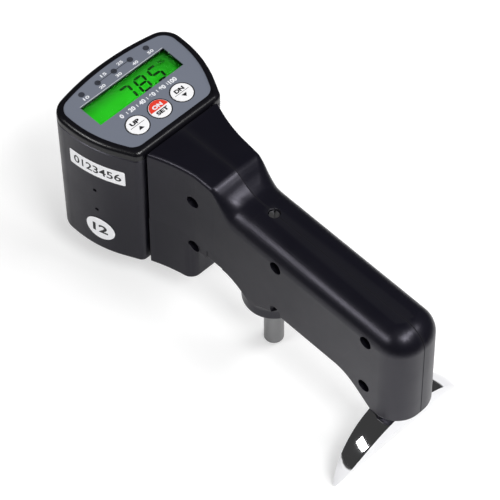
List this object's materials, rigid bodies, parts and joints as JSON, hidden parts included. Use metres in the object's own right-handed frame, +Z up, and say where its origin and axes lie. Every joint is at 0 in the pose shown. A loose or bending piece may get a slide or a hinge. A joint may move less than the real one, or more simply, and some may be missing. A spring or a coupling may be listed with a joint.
{
  "type": "hardness tester",
  "caption": "Hand-held impressor hardness tester: black pistol grip, display head with keys, spring-loaded indenter in a round sleeve and a half-round chromed leg.",
  "frame": {"origin": "on the indenter's axis at the end of its sleeve, which is the surface under test", "axes": "+X from the display head to the leg, +Z up along the indenter, +Y the right side"},
  "size_m": [0.1744, 0.0648, 0.0869],
  "materials": {
    "housing": "satin black moulding",
    "steel": "machined",
    "screws": "blackened",
    "sleeve": "ground",
    "leg": "polished plating",
    "sensor": "satin",
    "alloy": "machined",
    "overlay": "printed film",
    "window": "clear",
    "lcd": "backlit green",
    "white_plastic": "moulded",
    "board": "solder mask",
    "lights": "smoked",
    "label": "paper label",
    "cells": "foil sleeve",
    "keys": "printed cap"
  },
  "bodies": {
    "case": {"handle_half_left": "housing", "handle_half_right": "housing", "head_body": "housing", "head_bezel": "housing", "battery_cover": "housing", "frame": "steel", "lock_nut": "steel", "lever_pin": "steel", "case_screws": "screws", "board_screws": "screws", "head_screws": "screws", "battery_cover_screw": "screws", "leg_screws": "screws", "indenter_sleeve": "sleeve", "leg": "leg", "sensor_body": "sensor", "sensor_bracket": "alloy", "overlay_panel": "overlay", "display_window": "window", "lcd_glass": "lcd", "backlight": "white_plastic", "main_board": "board", "key_switches": "housing", "status_lights": "lights", "number_label": "label", "round_label": "label", "battery_holder": "white_plastic", "battery_cells": "cells"},
    "plunger": {"indenter_plunger": "steel", "main_spring": "steel"},
    "lever": {"lever": "steel"},
    "stem": {"sensor_stem": "steel"},
    "adjuster": {"load_adjuster": "steel"},
    "key_a": {"key_left": "keys"},
    "key_b": {"key_centre": "keys"},
    "key_c": {"key_right": "keys"}
  },
  "joints": [
    {"name": "indenter_stroke", "type": "slide", "parent": "case", "child": "plunger", "axis": [0, 0, 1], "range_m": [0, 0.00076], "stiffness_N_per_m": 12000, "deforming": ["main_spring"]},
    {"name": "lever_swing", "type": "hinge", "parent": "case", "child": "lever", "pos_m": [-0.014, 0, 0.05592], "axis": [0, -1, 0], "range_deg": [0, 3.2]},
    {"name": "sensor_stroke", "type": "slide", "parent": "case", "child": "stem", "axis": [0, 0, -1], "range_m": [0, 0.0015]},
    {"name": "load_setting", "type": "hinge", "parent": "case", "child": "adjuster", "pos_m": [0, 0, 0.072], "axis": [0, 0, 1], "range_deg": [-90, 90]},
    {"name": "key_press_left", "type": "slide", "parent": "case", "child": "key_a", "axis": [0, 0, -1], "range_m": [0, 0.0004], "stiffness_N_per_m": 1500},
    {"name": "key_press_centre", "type": "slide", "parent": "case", "child": "key_b", "axis": [0, 0, -1], "range_m": [0, 0.0004], "stiffness_N_per_m": 1500},
    {"name": "key_press_right", "type": "slide", "parent": "case", "child": "key_c", "axis": [0, 0, -1], "range_m": [0, 0.0004], "stiffness_N_per_m": 1500}
  ],
  "couplings": [
    {"joint": "lever_swing", "follows": "indenter_stroke", "rad_per_m": 71.352},
    {"joint": "sensor_stroke", "follows": "indenter_stroke", "ratio": 1.8684}
  ]
}
